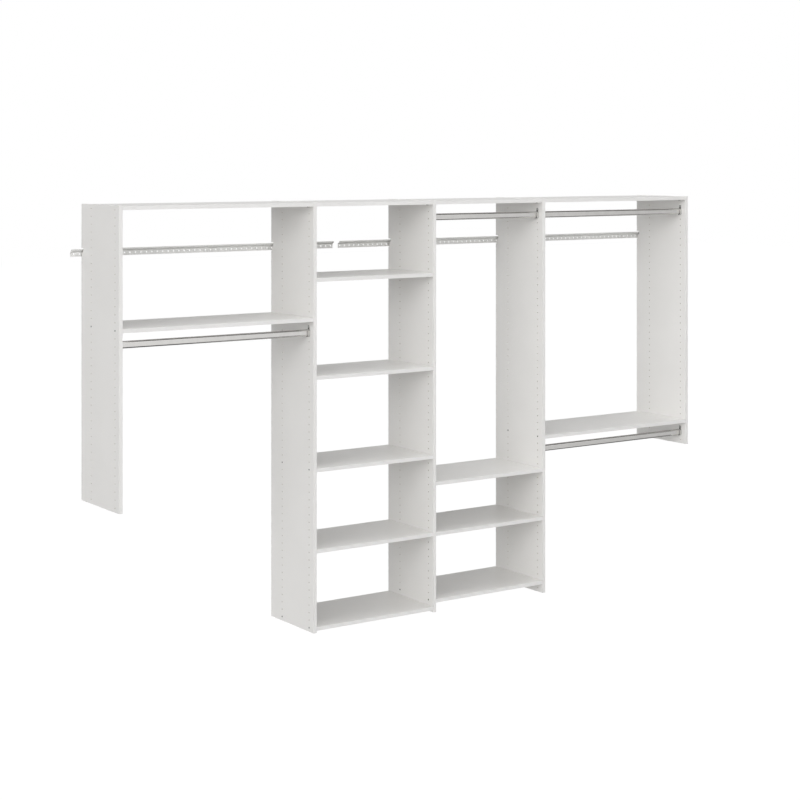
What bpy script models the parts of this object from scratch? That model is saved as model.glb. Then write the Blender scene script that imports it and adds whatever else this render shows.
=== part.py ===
"""Wall hung closet unit: five line-bored panels with shelves and hanging rods, carried by a steel hang rail.

Metres. +X runs along the wall to the right, +Y into the wall and +Z up. The wall is the plane Y = 0,
X = 0 is the middle of the unit, and Z = 0 is the line of the hang rail's holes.
"""

import math

import bmesh
import bpy
from mathutils import Matrix, Vector

# Boards
BOARD_THICKNESS = 0.015875
UNIT_DEPTH = 0.3556
WIDE_BAY = 0.885825
NARROW_BAY = 0.606425
BAYS = (WIDE_BAY, NARROW_BAY, NARROW_BAY, WIDE_BAY)

# Line boring: two columns of through holes in each panel
HOLE_PITCH = 0.032
HOLE_RADIUS = 0.0025
END_MARGIN = 0.0176
FRONT_SETBACK = 0.037
REAR_SETBACK = 0.070
SHORT_HOLES = 38
TALL_HOLES = 57
PANEL_HOLES = (SHORT_HOLES, TALL_HOLES, TALL_HOLES, TALL_HOLES, SHORT_HOLES)

# Clearances
FIT_GAP = 0.0003
SHELF_END_GAP = 0.0005
PEG_END_GAP = 0.0005
CUT_OVERRUN = 0.001
MERGE_DISTANCE = 0.00001

# Hang rail: a bent steel strip with a flat foot on the wall and a lip that stands off it
PANEL_TOP = 0.2058
RAIL_THICKNESS = 0.0016
RAIL_HEIGHT = 0.03175
RAIL_FOOT = 0.0112
RAIL_FLAT_HEIGHT = 0.0195
RAIL_LIP_HEIGHT = 0.005
RAIL_LIP_REACH = 0.014
RAIL_HOLE_PITCH = 0.0254
RAIL_HOLE_RADIUS = 0.00375
RAIL_OUTER_MARGIN = 0.0152
RAIL_INNER_MARGIN = 0.0102
RAIL_OVERHANG = 0.0502
RAIL_LEAST_OVERHANG = 0.005
RAIL_GAP = 0.0286
LEFT_RAIL_PANEL_COUNT = 2

# Notch in each panel's rear edge, round the rail
NOTCH_CLEARANCE = 0.004

# Hang bracket: a plate on each panel's right face, hooked over the rail's lip
BRACKET_THICKNESS = 0.002
BRACKET_PLAY = 0.001
BRACKET_NOSE = 0.004
BRACKET_NOSE_DROP = 0.004
BRACKET_CROWN = 0.010
BRACKET_FRONT = 0.050
BRACKET_TAIL = 0.020
BRACKET_SCREW_INSET = 0.036
BRACKET_SCREW_SPACING = 0.026
BRACKET_LOW_SCREW = 0.008
SCREW_HEAD_RADIUS = 0.004
SCREW_HEAD_HEIGHT = 0.0012
SCREW_REACH = 0.011

# Shelf pins: a peg in the panel and a half-round tongue under the shelf
TONGUE_LENGTH = 0.009
TONGUE_RADIUS = 0.004

# Fixed shelves' bolts, and how far a joined peg runs into its shelf
JOINT_GRIP = 0.004

# Hanging rods: oval tube
ROD_HALF_WIDTH = 0.0075
ROD_HALF_HEIGHT = 0.015
ROD_WALL = 0.0012
ROD_END_GAP = 0.001

# Rod cups: an ear plate on the panel and an open-topped wall round the rod
ROD_DROP = 0.025
CUP_PLATE = 0.002
CUP_WALL = 0.002
CUP_RIM = 0.0005
CUP_DEPTH = 0.012
CUP_WALL_RISE = 0.010
CUP_EAR_RADIUS = 0.006

# Facets
HOLE_SIDES = 6
PEG_SIDES = 6
HEAD_SIDES = 8
TONGUE_STEPS = 4
ROD_STEPS = 6
CUP_STEPS = 6
EAR_STEPS = 5
SMOOTH_ANGLE = math.radians(40)

# Where things hang: bay number from the left, and the hole that carries the piece, counted from the top
FIXED_SHELF_HOLES = (
    ("bay_1_fixed_shelf", 0, 15),
    ("bay_2_fixed_shelf_1", 1, 35),
    ("bay_2_fixed_shelf_2", 1, 56),
    ("bay_3_fixed_shelf", 2, 55),
    ("bay_4_fixed_shelf", 3, 34),
)
ADJUSTABLE_SHELF_HOLES = (
    ("bay_2_adjustable_shelf_1", 1, 10),
    ("bay_2_adjustable_shelf_2", 1, 23),
    ("bay_2_adjustable_shelf_3", 1, 46),
    ("bay_3_adjustable_shelf_1", 2, 39),
    ("bay_3_adjustable_shelf_2", 2, 46),
)
ROD_HOLES = (
    ("bay_1_rod", 0, 16),
    ("bay_3_rod", 2, 1),
    ("bay_4_upper_rod", 3, 1),
    ("bay_4_lower_rod", 3, 35),
)
TOP_SHELF_HOLE = 0

# Places that follow from the sizes
PANEL_COUNT = len(BAYS) + 1
UNIT_WIDTH = PANEL_COUNT * BOARD_THICKNESS + sum(BAYS)
FRONT_COLUMN = -UNIT_DEPTH + FRONT_SETBACK
COLUMN_PITCHES = math.floor((UNIT_DEPTH - FRONT_SETBACK - REAR_SETBACK) / HOLE_PITCH)
REAR_COLUMN = FRONT_COLUMN + COLUMN_PITCHES * HOLE_PITCH
PEG_RADIUS = HOLE_RADIUS - FIT_GAP
PEG_REACH = BOARD_THICKNESS / 2 - PEG_END_GAP
RAIL_BOTTOM = -RAIL_FOOT
RAIL_TOP = RAIL_BOTTOM + RAIL_HEIGHT
RAIL_BEND = RAIL_BOTTOM + RAIL_FLAT_HEIGHT
RAIL_LIP_BOTTOM = RAIL_TOP - RAIL_LIP_HEIGHT

# A side outline is drawn in Y and Z: local x becomes Y, local y becomes Z and local z becomes X
SIDE_ON = Matrix(((0, 0, 1, 0), (1, 0, 0, 0), (0, 1, 0, 0), (0, 0, 0, 1)))
HALF_TURN = Matrix.Rotation(math.pi, 4, "Z")
ALONG_X = Matrix.Rotation(math.pi / 2, 4, "Y")
ALONG_Y = Matrix.Rotation(math.pi / 2, 4, "X")


def clear_scene():
    for thing in list(bpy.data.objects):
        bpy.data.objects.remove(thing)


def finish(name, colour, roughness, metallic):
    """A plain surface finish."""
    material = bpy.data.materials.new(name)
    material.use_nodes = True
    shader = material.node_tree.nodes["Principled BSDF"]
    shader.inputs["Base Color"].default_value = (*colour, 1)
    shader.inputs["Roughness"].default_value = roughness
    shader.inputs["Metallic"].default_value = metallic
    return material


def evaluated_mesh(thing):
    """The mesh that an object's curve or modifiers make."""
    bpy.context.view_layer.update()
    depsgraph = bpy.context.evaluated_depsgraph_get()
    return bpy.data.meshes.new_from_object(thing.evaluated_get(depsgraph))


def mesh_object(name, mesh):
    thing = bpy.data.objects.new(name, mesh)
    bpy.context.scene.collection.objects.link(thing)
    return thing


def take_mesh(thing):
    """A helper object's mesh, with the object removed."""
    mesh = thing.data
    bpy.data.objects.remove(thing)
    return mesh


def fuse(base, tools, operation="UNION"):
    """Join the tools to the base, or cut them out of it, and keep the result as its mesh."""
    for tool in tools:
        step = base.modifiers.new(operation.title(), "BOOLEAN")
        step.operation = operation
        step.solver = "EXACT"
        step.object = tool
    mesh = evaluated_mesh(base)
    base.modifiers.clear()
    base.data = mesh
    for tool in tools:
        bpy.data.objects.remove(tool)
    return base


def arc(centre, radius, start, end, steps):
    """Points along an arc in Y and Z, both ends included."""
    points = []
    for index in range(steps + 1):
        angle = start + (end - start) * index / steps
        points.append((centre[0] + radius * math.cos(angle), centre[1] + radius * math.sin(angle)))
    return points


def side_solid(name, outlines, x_low, x_high):
    """A flat outline in Y and Z, with its holes, carried along X between two planes."""
    curve = bpy.data.curves.new(name, "CURVE")
    curve.dimensions = "2D"
    curve.fill_mode = "BOTH"
    curve.extrude = (x_high - x_low) / 2
    for outline in outlines:
        spline = curve.splines.new("POLY")
        spline.points.add(len(outline) - 1)
        for point, (y, z) in zip(spline.points, outline):
            point.co = Vector((y, z, 0)).to_4d()
        spline.use_cyclic_u = True
    sketch = mesh_object(name, curve)
    mesh = evaluated_mesh(sketch)
    bpy.data.objects.remove(sketch)
    shape = bmesh.new()
    shape.from_mesh(mesh)
    bmesh.ops.remove_doubles(shape, verts=shape.verts, dist=MERGE_DISTANCE)
    bmesh.ops.recalc_face_normals(shape, faces=shape.faces)
    shape.transform(Matrix.Translation(((x_low + x_high) / 2, 0, 0)) @ SIDE_ON)
    shape.to_mesh(mesh)
    shape.free()
    return mesh_object(name, mesh)


def box(name, low, high):
    """A plain board or block between two corners."""
    low = Vector(low)
    high = Vector(high)
    shape = bmesh.new()
    bmesh.ops.create_cube(shape, size=1)
    for vertex in shape.verts:
        vertex.co = (low + high) / 2 + vertex.co * (high - low)
    mesh = bpy.data.meshes.new(name)
    shape.to_mesh(mesh)
    shape.free()
    return mesh_object(name, mesh)


def rounds(name, centres, radius, length, sides, turn):
    """Equal round bars or cutters, one at each centre, all along one axis."""
    shape = bmesh.new()
    for centre in centres:
        place = Matrix.Translation(centre) @ turn
        bmesh.ops.create_cone(
            shape, cap_ends=True, segments=sides, radius1=radius, radius2=radius, depth=length, matrix=place
        )
    mesh = bpy.data.meshes.new(name)
    shape.to_mesh(mesh)
    shape.free()
    return mesh_object(name, mesh)


def bar_along_x(name, start, end, y, z, radius, sides):
    centre = Vector(((start + end) / 2, y, z))
    return rounds(name, [centre], radius, abs(end - start), sides, ALONG_X)


def hole_height(index):
    """Height of a hole of the line boring, counted from the panels' top."""
    return PANEL_TOP - END_MARGIN - index * HOLE_PITCH


def panel_left(index):
    """Left face of a panel, counted from the left."""
    return -UNIT_WIDTH / 2 + index * BOARD_THICKNESS + sum(BAYS[:index])


def bay_faces(bay):
    """The two panel faces that a bay lies between."""
    return panel_left(bay) + BOARD_THICKNESS, panel_left(bay + 1)


def bracket_screws():
    """Heights of a hang bracket's two screws."""
    low = -BRACKET_LOW_SCREW
    return low, low + BRACKET_SCREW_SPACING


def offset_side(path, distance):
    """The same path moved sideways to its left, with mitred corners."""
    moved = []
    for index, point in enumerate(path):
        normals = []
        for first, last in ((index - 1, index), (index, index + 1)):
            if first < 0 or last >= len(path):
                continue
            step = (Vector(path[last]) - Vector(path[first])).normalized()
            normals.append(Vector((-step.y, step.x)))
        mitre = sum(normals, Vector((0, 0)))
        mitre = mitre / mitre.dot(normals[0])
        moved.append((point[0] + mitre.x * distance, point[1] + mitre.y * distance))
    return moved


def panel_mesh(name, holes):
    """An upright panel: its outline is notched round the rail and bored with two columns of holes."""
    bottom = hole_height(holes - 1) - END_MARGIN
    shallow = -RAIL_THICKNESS - NOTCH_CLEARANCE
    deep = -RAIL_LIP_REACH - NOTCH_CLEARANCE
    outline = [
        (-UNIT_DEPTH, bottom),
        (0, bottom),
        (0, RAIL_BOTTOM - NOTCH_CLEARANCE),
        (shallow, RAIL_BOTTOM - NOTCH_CLEARANCE),
        (shallow, RAIL_BEND - NOTCH_CLEARANCE),
        (deep, RAIL_LIP_BOTTOM - NOTCH_CLEARANCE),
        (deep, RAIL_TOP + NOTCH_CLEARANCE),
        (0, RAIL_TOP + NOTCH_CLEARANCE),
        (0, PANEL_TOP),
        (-UNIT_DEPTH, PANEL_TOP),
    ]
    panel = side_solid(name, [outline], -BOARD_THICKNESS / 2, BOARD_THICKNESS / 2)
    heights = [hole_height(index) for index in range(holes)]
    centres = [Vector((0, column, height)) for height in heights for column in (FRONT_COLUMN, REAR_COLUMN)]
    corner = HOLE_RADIUS / math.cos(math.pi / HOLE_SIDES)
    bores = rounds(name + "_bores", centres, corner, BOARD_THICKNESS + 2 * CUT_OVERRUN, HOLE_SIDES, ALONG_X)
    depth = SCREW_REACH + PEG_END_GAP
    pilot_middle = BOARD_THICKNESS / 2 - depth + (depth + CUT_OVERRUN) / 2
    centres = [Vector((pilot_middle, -BRACKET_SCREW_INSET, height)) for height in bracket_screws()]
    pilots = rounds(name + "_pilots", centres, corner, depth + CUT_OVERRUN, HOLE_SIDES, ALONG_X)
    return take_mesh(fuse(panel, [bores, pilots], "DIFFERENCE"))


def rail_length(holes):
    """A rail's length, with a wide margin at its outer end and a narrow one where the rails meet."""
    return RAIL_OUTER_MARGIN + (holes - 1) * RAIL_HOLE_PITCH + RAIL_INNER_MARGIN


def rail_mesh(name, holes, first_margin):
    """A length of hang rail from X = 0: a bent strip with a row of round holes in its flat foot."""
    wall_side = [
        (0, RAIL_BOTTOM),
        (0, RAIL_BEND),
        (-RAIL_LIP_REACH + RAIL_THICKNESS, RAIL_LIP_BOTTOM),
        (-RAIL_LIP_REACH + RAIL_THICKNESS, RAIL_TOP),
    ]
    outline = wall_side + offset_side(wall_side, RAIL_THICKNESS)[::-1]
    rail = side_solid(name, [outline], 0, rail_length(holes))
    middle = -RAIL_THICKNESS / 2
    centres = [Vector((first_margin + index * RAIL_HOLE_PITCH, middle, 0)) for index in range(holes)]
    corner = RAIL_HOLE_RADIUS / math.cos(math.pi / HOLE_SIDES)
    punches = rounds(
        name + "_punches", centres, corner, RAIL_THICKNESS + 2 * CUT_OVERRUN, HOLE_SIDES, ALONG_Y
    )
    return take_mesh(fuse(rail, [punches], "DIFFERENCE"))


def bracket_mesh():
    """A hang bracket from X = 0, the panel's face: a plate hooked over the lip, with its two screws."""
    slot_front = -RAIL_LIP_REACH - BRACKET_PLAY
    slot_rear = -RAIL_LIP_REACH + RAIL_THICKNESS + BRACKET_PLAY
    nose_rear = slot_rear + BRACKET_NOSE
    slot_top = RAIL_TOP + FIT_GAP
    crown = slot_top + BRACKET_CROWN
    outline = [
        (-BRACKET_FRONT, crown),
        (-BRACKET_FRONT, -BRACKET_TAIL),
        (slot_front, -BRACKET_TAIL),
        (slot_front, slot_top),
        (slot_rear, slot_top),
        (slot_rear, RAIL_TOP - BRACKET_NOSE_DROP),
        (nose_rear, RAIL_TOP - BRACKET_NOSE_DROP),
        (nose_rear, crown),
    ]
    outer = FIT_GAP + BRACKET_THICKNESS
    plate = side_solid("bracket", [outline], FIT_GAP, outer)
    screws = []
    for height in bracket_screws():
        head_end = outer + SCREW_HEAD_HEIGHT
        inset = -BRACKET_SCREW_INSET
        inner = (FIT_GAP + outer) / 2
        screws.append(bar_along_x("shank", -SCREW_REACH, inner, inset, height, PEG_RADIUS, PEG_SIDES))
        screws.append(bar_along_x("head", inner, head_end, inset, height, SCREW_HEAD_RADIUS, HEAD_SIDES))
    return take_mesh(fuse(plate, screws))


def tongue(name, x_low, x_high, top):
    """The half-round bar that a shelf rests on, flat side up."""
    half_round = arc((0, top), TONGUE_RADIUS, math.pi, 2 * math.pi, TONGUE_STEPS)
    return side_solid(name, [half_round], x_low, x_high)


def pin_mesh():
    """A shelf pin at a bay's right end: its peg runs into the panel at +X, its tongue out at -X."""
    pin = bar_along_x("pin", -TONGUE_LENGTH, PEG_REACH, 0, 0, PEG_RADIUS, PEG_SIDES)
    fuse(pin, [tongue("tongue", -TONGUE_LENGTH - FIT_GAP, -FIT_GAP, -FIT_GAP)])
    reach = TONGUE_LENGTH + FIT_GAP + CUT_OVERRUN
    side = TONGUE_RADIUS + CUT_OVERRUN
    above = box("above_tongue", (-reach, -side, -FIT_GAP), (0, side, side))
    return take_mesh(fuse(pin, [above], "DIFFERENCE"))


def cup_mesh():
    """A rod cup at a bay's right end, its fixing hole at the origin and the panel's face at X = 0."""
    inner = ROD_HALF_WIDTH + FIT_GAP
    outer = inner + CUP_WALL
    edge = outer + CUP_RIM
    low = (0, -ROD_DROP - (ROD_HALF_HEIGHT - ROD_HALF_WIDTH))
    brim = -ROD_DROP + CUP_WALL_RISE
    shoulder = brim + edge - CUP_EAR_RADIUS
    plate_outline = arc(low, edge, math.pi, 2 * math.pi, CUP_STEPS)
    plate_outline += [(edge, brim), (CUP_EAR_RADIUS, shoulder)]
    plate_outline += arc((0, 0), CUP_EAR_RADIUS, 0, math.pi, EAR_STEPS)
    plate_outline += [(-CUP_EAR_RADIUS, shoulder), (-edge, brim)]
    cup = side_solid("cup", [plate_outline], -FIT_GAP - CUP_PLATE, -FIT_GAP)
    wall_outline = [(-outer, brim)]
    wall_outline += arc(low, outer, math.pi, 2 * math.pi, CUP_STEPS)
    wall_outline += [(outer, brim), (inner, brim)]
    wall_outline += arc(low, inner, 2 * math.pi, math.pi, CUP_STEPS)
    wall_outline += [(-inner, brim)]
    middle = -FIT_GAP - CUP_PLATE / 2
    wall = side_solid("wall", [wall_outline], -CUP_DEPTH, middle)
    peg = bar_along_x("peg", middle, PEG_REACH, 0, 0, PEG_RADIUS, PEG_SIDES)
    return take_mesh(fuse(cup, [wall, peg]))


def rod_outline(inset):
    """The rod's oval, drawn in from its outer surface."""
    centre = ROD_HALF_HEIGHT - ROD_HALF_WIDTH
    radius = ROD_HALF_WIDTH - inset
    return arc((0, -centre), radius, math.pi, 2 * math.pi, ROD_STEPS) + arc(
        (0, centre), radius, 0, math.pi, ROD_STEPS
    )


def board(bay, underside):
    """A shelf board that fills a bay, its faces square to the panels."""
    left, right = bay_faces(bay)
    low = (left + SHELF_END_GAP, -UNIT_DEPTH, underside)
    high = (right - SHELF_END_GAP, 0, underside + BOARD_THICKNESS)
    return box("shelf", low, high)


def fixed_shelf(bay, hole):
    """A shelf centred on its holes, with the four bolts that run through the panels."""
    height = hole_height(hole)
    left, right = bay_faces(bay)
    shelf = board(bay, height - BOARD_THICKNESS / 2)
    bolts = []
    for face, way in ((left, -1), (right, 1)):
        end = face + way * (BOARD_THICKNESS - FIT_GAP)
        start = face - way * JOINT_GRIP
        for column in (FRONT_COLUMN, REAR_COLUMN):
            bolts.append(bar_along_x("bolt", start, end, column, height, PEG_RADIUS, PEG_SIDES))
    return fuse(shelf, bolts)


def top_shelf(bay):
    """A shelf that rests on four pins at the panels' first holes. The pins are one piece with it here."""
    height = hole_height(TOP_SHELF_HOLE)
    left, right = bay_faces(bay)
    shelf = board(bay, height)
    pins = []
    for face, way in ((left, -1), (right, 1)):
        for column in (FRONT_COLUMN, REAR_COLUMN):
            inner = face - way * TONGUE_LENGTH
            outer = face - way * SHELF_END_GAP
            rest = tongue("tongue", min(inner, outer), max(inner, outer), FIT_GAP)
            rest.data.transform(Matrix.Translation((0, column, height)))
            pins.append(rest)
            end = face + way * PEG_REACH
            start = face - way * JOINT_GRIP
            pins.append(bar_along_x("peg", start, end, column, height, PEG_RADIUS, PEG_SIDES))
    return fuse(shelf, pins)


def centre_origin(thing):
    """Move a piece's origin to the middle of its box, with the piece where it was."""
    corners = [Vector(corner) for corner in thing.bound_box]
    middle = (corners[0] + corners[6]) / 2
    thing.data.transform(Matrix.Translation(-middle))
    thing.location = middle


def place(name, mesh, location, turn, material, collection):
    """A named piece of the unit, which may share its mesh with its likes."""
    thing = bpy.data.objects.new(name, mesh)
    thing.matrix_world = Matrix.Translation(location) @ turn
    if not mesh.materials:
        mesh.materials.append(material)
    collection.objects.link(thing)
    return thing


def keep(thing, name, material, collection):
    """Name a piece that was made where it lies, and move it to the unit's collection."""
    thing.name = name
    thing.data.name = name
    centre_origin(thing)
    thing.data.materials.clear()
    thing.data.materials.append(material)
    for home in list(thing.users_collection):
        home.objects.unlink(thing)
    collection.objects.link(thing)


def smooth(mesh):
    """Round pieces shade smooth and keep their real edges."""
    mesh.shade_smooth()
    mesh.set_sharp_from_angle(angle=SMOOTH_ANGLE)
    return mesh


def build_panels(unit, melamine):
    short = panel_mesh("short_panel", SHORT_HOLES)
    tall = panel_mesh("tall_panel", TALL_HOLES)
    for index, holes in enumerate(PANEL_HOLES):
        mesh = short if holes == SHORT_HOLES else tall
        middle = panel_left(index) + BOARD_THICKNESS / 2
        place("panel_%d" % (index + 1), mesh, (middle, 0, 0), Matrix(), melamine, unit)


def build_rails(unit, galvanised):
    """Two rails of whole hole pitches: they part near the middle of a bay and reach past the end panels."""
    left_start = panel_left(0) - RAIL_OVERHANG
    split = sum(bay_faces(LEFT_RAIL_PANEL_COUNT - 1)) / 2
    left_holes = round((split - left_start) / RAIL_HOLE_PITCH)
    right_start = left_start + rail_length(left_holes) + RAIL_GAP
    right_reach = UNIT_WIDTH / 2 + RAIL_LEAST_OVERHANG - right_start
    right_holes = math.ceil(right_reach / RAIL_HOLE_PITCH)
    left = rail_mesh("hang_rail_left", left_holes, RAIL_OUTER_MARGIN)
    right = rail_mesh("hang_rail_right", right_holes, RAIL_INNER_MARGIN)
    place("hang_rail_left", left, (left_start, 0, 0), Matrix(), galvanised, unit)
    place("hang_rail_right", right, (right_start, 0, 0), Matrix(), galvanised, unit)


def build_brackets(unit, zinc):
    mesh = smooth(bracket_mesh())
    for index in range(PANEL_COUNT):
        face = panel_left(index) + BOARD_THICKNESS
        place("hang_bracket_%d" % (index + 1), mesh, (face, 0, 0), Matrix(), zinc, unit)


def build_shelves(unit, melamine):
    for bay in range(len(BAYS)):
        keep(top_shelf(bay), "bay_%d_top_shelf" % (bay + 1), melamine, unit)
    for name, bay, hole in FIXED_SHELF_HOLES:
        keep(fixed_shelf(bay, hole), name, melamine, unit)
    for name, bay, hole in ADJUSTABLE_SHELF_HOLES:
        keep(board(bay, hole_height(hole)), name, melamine, unit)


def build_pins(unit, nickel):
    mesh = smooth(pin_mesh())
    for name, bay, hole in ADJUSTABLE_SHELF_HOLES:
        left, right = bay_faces(bay)
        height = hole_height(hole)
        for side, face, turn in (("left", left, HALF_TURN), ("right", right, Matrix())):
            for row, column in (("front", FRONT_COLUMN), ("rear", REAR_COLUMN)):
                pin = "%s_pin_%s_%s" % (name, row, side)
                place(pin, mesh, (face, column, height), turn, nickel, unit)


def build_rods(unit, chrome):
    cup = smooth(cup_mesh())
    for name, bay, hole in ROD_HOLES:
        left, right = bay_faces(bay)
        height = hole_height(hole)
        place(name + "_cup_left", cup, (left, FRONT_COLUMN, height), HALF_TURN, chrome, unit)
        place(name + "_cup_right", cup, (right, FRONT_COLUMN, height), Matrix(), chrome, unit)
        half = (right - left) / 2 - FIT_GAP - CUP_PLATE - ROD_END_GAP
        tube = smooth(take_mesh(side_solid(name, [rod_outline(0), rod_outline(ROD_WALL)], -half, half)))
        middle = ((left + right) / 2, FRONT_COLUMN, height - ROD_DROP)
        place(name, tube, middle, Matrix(), chrome, unit)


def build():
    clear_scene()
    unit = bpy.data.collections.new("wall_hung_closet_unit")
    bpy.context.scene.collection.children.link(unit)
    melamine = finish("white_melamine", (0.80, 0.80, 0.79), 0.45, 0)
    galvanised = finish("galvanised_steel", (0.45, 0.45, 0.43), 0.45, 1)
    zinc = finish("zinc_plated_steel", (0.55, 0.55, 0.54), 0.35, 1)
    nickel = finish("nickel_plated_steel", (0.60, 0.58, 0.55), 0.30, 1)
    chrome = finish("chrome_plate", (0.62, 0.62, 0.61), 0.18, 1)
    build_panels(unit, melamine)
    build_rails(unit, galvanised)
    build_brackets(unit, zinc)
    build_shelves(unit, melamine)
    build_pins(unit, nickel)
    build_rods(unit, chrome)


build()
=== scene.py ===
"""Fine surfaces, fittings, finishes and a plain studio for a white closet unit that hangs on a
steel rail.

Metres, in the frame's axes: +X along the wall to the right, +Y into the wall, +Z up.
A flat piece is drawn as closed loops in u and v, with the material on the left of the way round,
so an outline runs counterclockwise and a hole clockwise. It is given its thickness along w, and
u, v and w are then laid along the frame's axes. A shape is its points, its faces as arrays of
quads and triangles, and for each face the number of the loop that its wall follows, or -1.
"""

import math

import bpy
import numpy as np
from mathutils.geometry import delaunay_2d_cdt
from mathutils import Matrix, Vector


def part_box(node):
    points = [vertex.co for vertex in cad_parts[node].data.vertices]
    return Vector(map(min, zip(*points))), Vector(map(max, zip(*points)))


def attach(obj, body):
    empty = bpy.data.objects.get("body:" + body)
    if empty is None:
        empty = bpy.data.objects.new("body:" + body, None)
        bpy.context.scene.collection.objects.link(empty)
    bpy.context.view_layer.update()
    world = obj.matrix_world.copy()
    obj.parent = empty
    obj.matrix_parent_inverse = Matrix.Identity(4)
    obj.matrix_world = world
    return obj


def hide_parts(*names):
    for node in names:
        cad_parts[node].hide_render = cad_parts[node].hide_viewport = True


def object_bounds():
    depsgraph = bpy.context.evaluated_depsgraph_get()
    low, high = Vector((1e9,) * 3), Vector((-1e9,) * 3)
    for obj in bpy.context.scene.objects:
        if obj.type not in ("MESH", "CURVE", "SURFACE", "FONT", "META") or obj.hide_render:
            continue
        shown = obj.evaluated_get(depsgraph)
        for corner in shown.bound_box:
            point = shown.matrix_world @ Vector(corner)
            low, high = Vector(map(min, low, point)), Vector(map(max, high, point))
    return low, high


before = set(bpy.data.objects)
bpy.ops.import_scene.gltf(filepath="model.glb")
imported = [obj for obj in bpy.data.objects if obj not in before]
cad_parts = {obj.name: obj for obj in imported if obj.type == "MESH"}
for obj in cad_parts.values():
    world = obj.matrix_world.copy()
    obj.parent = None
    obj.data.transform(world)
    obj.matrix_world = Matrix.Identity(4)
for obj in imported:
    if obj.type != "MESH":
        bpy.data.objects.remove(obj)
cad_box = [list(corner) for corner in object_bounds()]

UNIT = "unit"

# The frame's directions, and those of a shape before it is laid in the frame
X, Y, Z = np.eye(3)

# Boards: their holes, their edge tape with its seam, and the room round the rail in a panel's notch
HOLE_PITCH = 0.032
HOLE_RADIUS = 0.0025
END_MARGIN = 0.0176
FRONT_SETBACK = 0.037
COLUMN_PITCHES = 7
TAPE = 0.0005
TAPE_SEAM = 0.00005
ARRIS = 0.00015
TAPE_ARRIS = 0.0002
NOTCH_CLEARANCE = 0.004

# Hang rail, along its bent section
RAIL_THICKNESS = 0.0016
RAIL_FLAT = 0.0195
RAIL_LIP = 0.005
RAIL_BEND_RADIUS = 0.0022
RAIL_HOLE_PITCH = 0.0254
RAIL_HOLE_RADIUS = 0.00375
RAIL_OUTER_MARGIN = 0.0152
RAIL_INNER_MARGIN = 0.0102
RAIL_ARRIS = 0.0002

# Hang bracket
BRACKET_THICKNESS = 0.002
BRACKET_PLAY = 0.001
BRACKET_NOSE_DROP = 0.004
BRACKET_CORNER = 0.00075
BRACKET_SCREW_INSET = 0.036
BRACKET_SCREW_HEIGHTS = (-0.008, 0.018)
BRACKET_HEAD_RADIUS = 0.004
BRACKET_HEAD_HEIGHT = 0.0012

# Rods and their cups
ROD_DROP = 0.025
ROD_HALF_WIDTH = 0.0075
ROD_HALF_HEIGHT = 0.015
ROD_WALL = 0.0012
ROD_ARRIS = 0.00015
CUP_GAP = 0.0003
CUP_PLATE = 0.002
CUP_WALL = 0.002
CUP_RIM = 0.0005
CUP_DEPTH = 0.012
CUP_WALL_RISE = 0.010
CUP_EAR_RADIUS = 0.006
CUP_FILLET = 0.0004
CUP_HEAD_RADIUS = 0.0036
CUP_HEAD_HEIGHT = 0.0013

# Shelf fittings
PEG_RADIUS = 0.0023
PEG_REACH = 0.0074
TONGUE_RADIUS = 0.004
TONGUE_LENGTH = 0.009
FIT_GAP = 0.0003
CAM_RADIUS = 0.0075
CAM_INSET = 0.024
CAM_HEIGHT = 0.0003
BOLT_HEAD_RADIUS = 0.0035
BOLT_HEAD_HEIGHT = 0.0007
METAL_ARRIS = 0.0003

# Domed heads: the angle that the dome turns through in degrees, then the cross recess, with its
# reach as a share of the head's radius, its depth as a share of the head's height, and its arms'
# half width and its size at the bottom as shares of its reach
HEAD_DOME_ANGLE = 52
RECESS_REACH = 0.5
RECESS_DEPTH = 0.75
RECESS_ARM = 1 / 3
RECESS_BOTTOM = 0.8

# Facets
HOLE_SIDES = 20
RAIL_HOLE_SIDES = 24
ARRIS_STEPS = 2
CORNER_STEPS = 3
DOME_STEPS = 5
BEND_STEPS = 6
ROUND_STEPS = 32
FACET_WIDTH = 0.003
SMOOTH_ANGLE = 50
SAME_POINT = 1e-9
SHORTEST_STEP = 1e-7

# Board finishes: a dark and a light tone, the lowest and highest roughness, the grain in cells per
# metre and the depth of the relief
FACE_WHITE = ((0.803, 0.793, 0.774), (0.823, 0.813, 0.795))
FACE_ROUGHNESS = (0.30, 0.38)
FACE_GRAIN = 1400.0
FACE_RELIEF = 0.00003
TAPE_WHITE = ((0.810, 0.802, 0.788), (0.832, 0.824, 0.811))
TAPE_ROUGHNESS = (0.32, 0.40)
TAPE_GRAIN = 700.0
TAPE_RELIEF = 0.00001
CHIPBOARD = ((0.38, 0.35, 0.305), (0.54, 0.50, 0.445))
CHIPBOARD_ROUGHNESS = 0.9
CHIPBOARD_GRAIN = 900.0
TONE_CLOUDS = 5.0
GLOSS_CLOUDS = 60.0

# Metal finishes: dark and light tone, lowest and highest roughness, depth of the fine tooth
BRIGHT_ZINC = (((0.56, 0.57, 0.58), (0.66, 0.67, 0.67)), (0.24, 0.36), 0.000004)
# The bolts' steel is near black, so their ends show as dark dots on the panels' faces
NEAR_BLACK_STEEL = (((0.02, 0.02, 0.02), (0.035, 0.035, 0.035)), (0.40, 0.55), 0.000006)
NICKEL_PLATE = (((0.60, 0.58, 0.54), (0.68, 0.66, 0.61)), (0.18, 0.28), 0.000003)
POLISHED_CHROME = (((0.645, 0.635, 0.62), (0.675, 0.665, 0.65)), (0.10, 0.15), 0.0000005)
GALVANISED = (((0.78, 0.78, 0.765), (0.88, 0.88, 0.865)), (0.40, 0.55), 0.00001)
GALVANISED_METALLIC = 0.35
CRYSTALS = 260.0
ROLLING_LINES = (2.0, 2500.0, 2500.0)
METAL_TOOTH = 2600.0
METAL_CLOUDS = 35.0

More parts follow.
